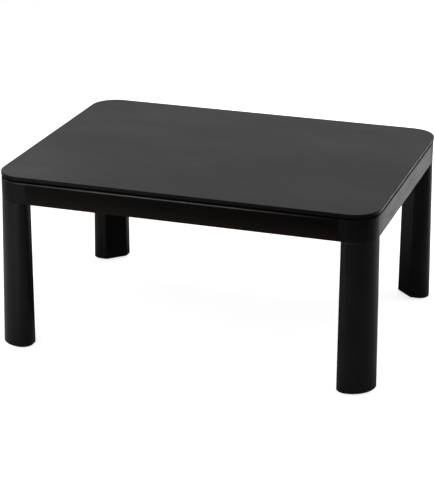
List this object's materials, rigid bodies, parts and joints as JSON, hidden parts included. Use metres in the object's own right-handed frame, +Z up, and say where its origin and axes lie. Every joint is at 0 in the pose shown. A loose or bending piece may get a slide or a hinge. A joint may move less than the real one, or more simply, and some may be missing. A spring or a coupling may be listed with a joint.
{
  "type": "heated low table",
  "caption": "Low rectangular heated table with round corners: loose lift-off top, railed frame, bolted legs with a quarter-round face, guarded quartz heater below.",
  "frame": {"origin": "on the floor, under the centre of the table", "axes": "+X along the length, +Y from the front to the back, +Z up"},
  "size_m": [0.8084, 0.6084, 0.38],
  "materials": {
    "core_board": "raw fibreboard",
    "top_laminate": "dark laminate, satin",
    "underside_laminate": "thin backing sheet, matte",
    "edge_strip": "dark plastic strip, smooth",
    "rail_foil": "fibreboard wrapped in dark foil, satin",
    "moulded_corner": "dark moulded plastic, satin gloss",
    "moulded_leg": "dark moulded plastic, satin gloss",
    "foot_plastic": "moulded plastic, matte",
    "glide_plastic": "hard dark plastic, worn underneath",
    "pad_rubber": "soft rubber",
    "bar_wood": "planed softwood",
    "zinc_steel": "zinc plated",
    "screw_steel": "zinc plated, slightly yellow",
    "pan_steel": "galvanised sheet",
    "mineral_mat": "pressed mineral fibre",
    "reflector_sheet": "bright rolled sheet",
    "quartz": "milky quartz glass",
    "heating_wire": "oxidised resistance wire",
    "white_ceramic": "unglazed ceramic",
    "switch_phenolic": "dark phenolic with metal cap",
    "fuse_metal": "bare can",
    "lead_sleeve": "heat resistant sleeve",
    "inlet_plastic": "moulded plastic, fine texture",
    "pin_brass": "nickel-free brass",
    "guard_coating": "short flocked dark coating"
  },
  "bodies": {
    "frame": {"front_rail": "rail_foil", "back_rail": "rail_foil", "left_rail": "rail_foil", "right_rail": "rail_foil", "corner_block_front_left": "moulded_corner", "corner_block_front_right": "moulded_corner", "corner_block_back_left": "moulded_corner", "corner_block_back_right": "moulded_corner", "leg_front_left": "moulded_leg", "leg_front_right": "moulded_leg", "leg_back_left": "moulded_leg", "leg_back_right": "moulded_leg", "foot_cap_front_left": "foot_plastic", "foot_cap_front_right": "foot_plastic", "foot_cap_back_left": "foot_plastic", "foot_cap_back_right": "foot_plastic", "glide_front_left": "glide_plastic", "glide_front_right": "glide_plastic", "glide_back_left": "glide_plastic", "glide_back_right": "glide_plastic", "anti_slip_pads": "pad_rubber", "left_crossbar": "bar_wood", "right_crossbar": "bar_wood", "crossbar_brackets": "zinc_steel", "leg_bolts": "zinc_steel", "leg_bolt_washers": "zinc_steel", "leg_inserts": "zinc_steel", "rail_screws": "screw_steel", "bracket_screws": "screw_steel", "heater_screws": "screw_steel", "guard_screws": "screw_steel", "heater_pan": "pan_steel", "tube_holders": "pan_steel", "insulation_mat": "mineral_mat", "reflector": "reflector_sheet", "quartz_tube_front": "quartz", "quartz_tube_back": "quartz", "heating_coil_front": "heating_wire", "heating_coil_back": "heating_wire", "tube_end_caps": "white_ceramic", "terminal_block": "white_ceramic", "thermostat": "switch_phenolic", "thermal_fuse": "fuse_metal", "lead_wires": "lead_sleeve", "inlet_housing": "inlet_plastic", "inlet_pins": "pin_brass", "guard_grille": "guard_coating", "guard_bezel": "guard_coating"},
    "top": {"top_board": "core_board", "top_edge_band": "edge_strip", "top_face_sheet": "top_laminate", "underside_sheet": "underside_laminate"}
  },
  "joints": [
    {"name": "top_lift", "type": "slide", "parent": "frame", "child": "top", "axis": [0, 0, 1], "range_m": [0, 0.12]}
  ]
}
